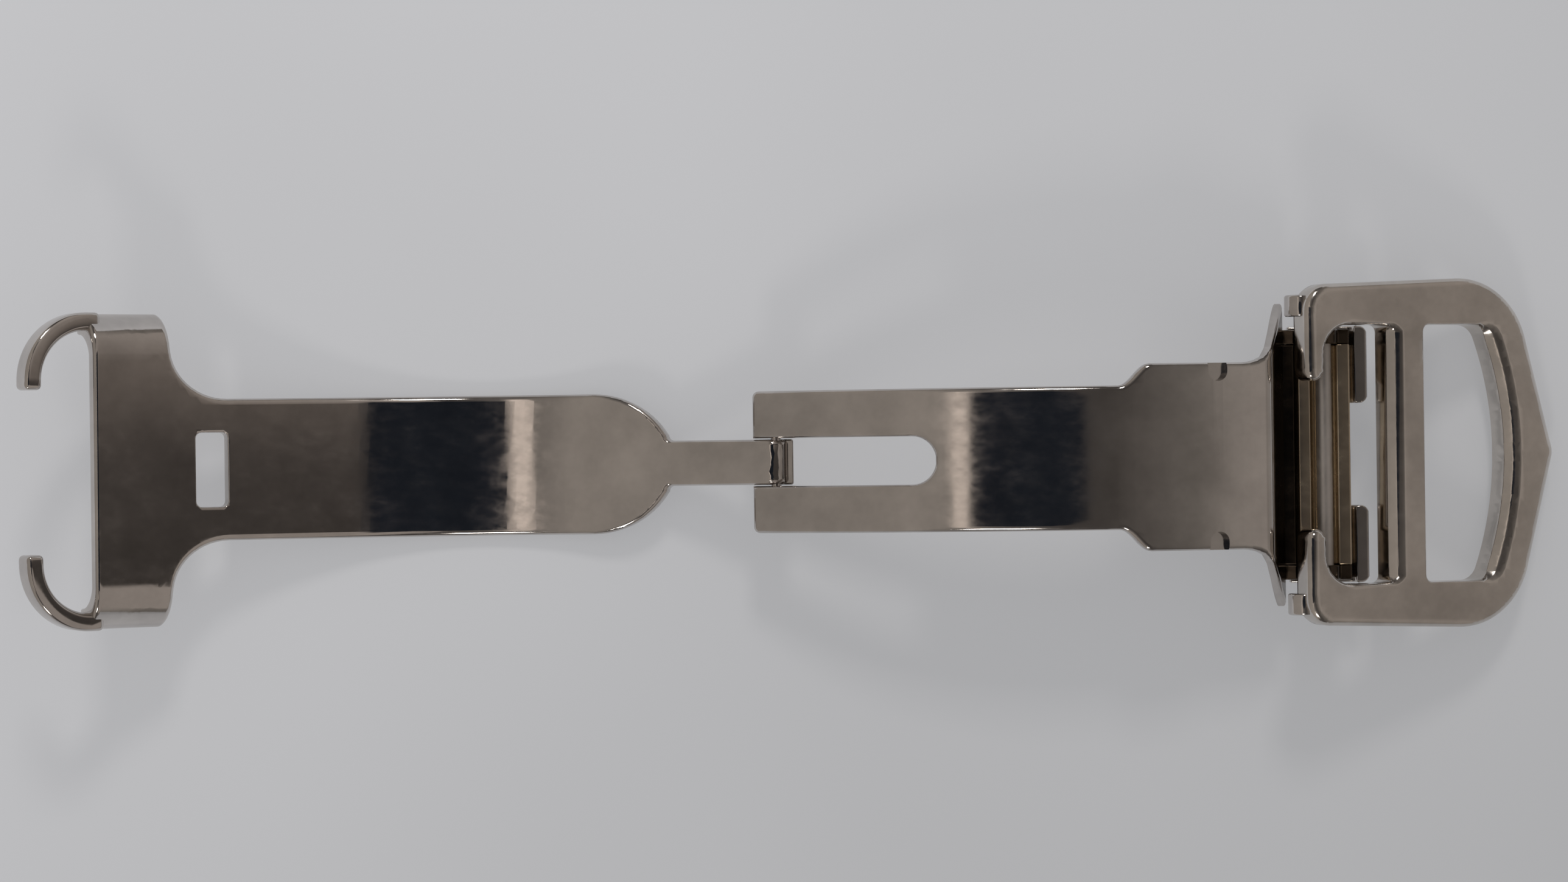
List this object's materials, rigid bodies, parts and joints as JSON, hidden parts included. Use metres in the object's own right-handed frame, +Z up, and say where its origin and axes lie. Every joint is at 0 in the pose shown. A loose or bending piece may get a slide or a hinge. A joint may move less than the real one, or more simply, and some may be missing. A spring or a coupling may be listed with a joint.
{
  "type": "deployant clasp",
  "caption": "Single-fold deployant clasp in polished steel for a leather watch strap: cover blade with open strap head, forked base blade and hinged pointed buckle frame, lying open.",
  "frame": {"origin": "middle of the open clasp's length and width, on the surface it lies on", "axes": "+X from the strap head to the buckle's point, +Y across the clasp, +Z up, towards the folding faces"},
  "size_m": [0.0928, 0.0212, 0.0101],
  "materials": {
    "polished_steel": "polished, with fine hairlines and haze from wear",
    "pin_steel": "drawn wire, satin"
  },
  "bodies": {
    "base": {"base_blade": "polished_steel", "centre_hinge_pin": "pin_steel", "buckle_hinge_pin": "pin_steel", "tail_bracket": "polished_steel"},
    "cover": {"cover_blade": "polished_steel", "cover_strap_post": "polished_steel"},
    "buckle": {"buckle_frame": "polished_steel", "buckle_strap_stud": "polished_steel"}
  },
  "joints": [
    {"name": "cover_fold", "type": "hinge", "parent": "base", "child": "cover", "pos_m": [-0.00123, 0, 0.00452], "axis": [0, 1, 0], "range_deg": [0, 167]},
    {"name": "buckle_swing", "type": "hinge", "parent": "base", "child": "buckle", "pos_m": [0.03199, 0, 0.00462], "axis": [0, 1, 0], "range_deg": [0, 16]}
  ]
}
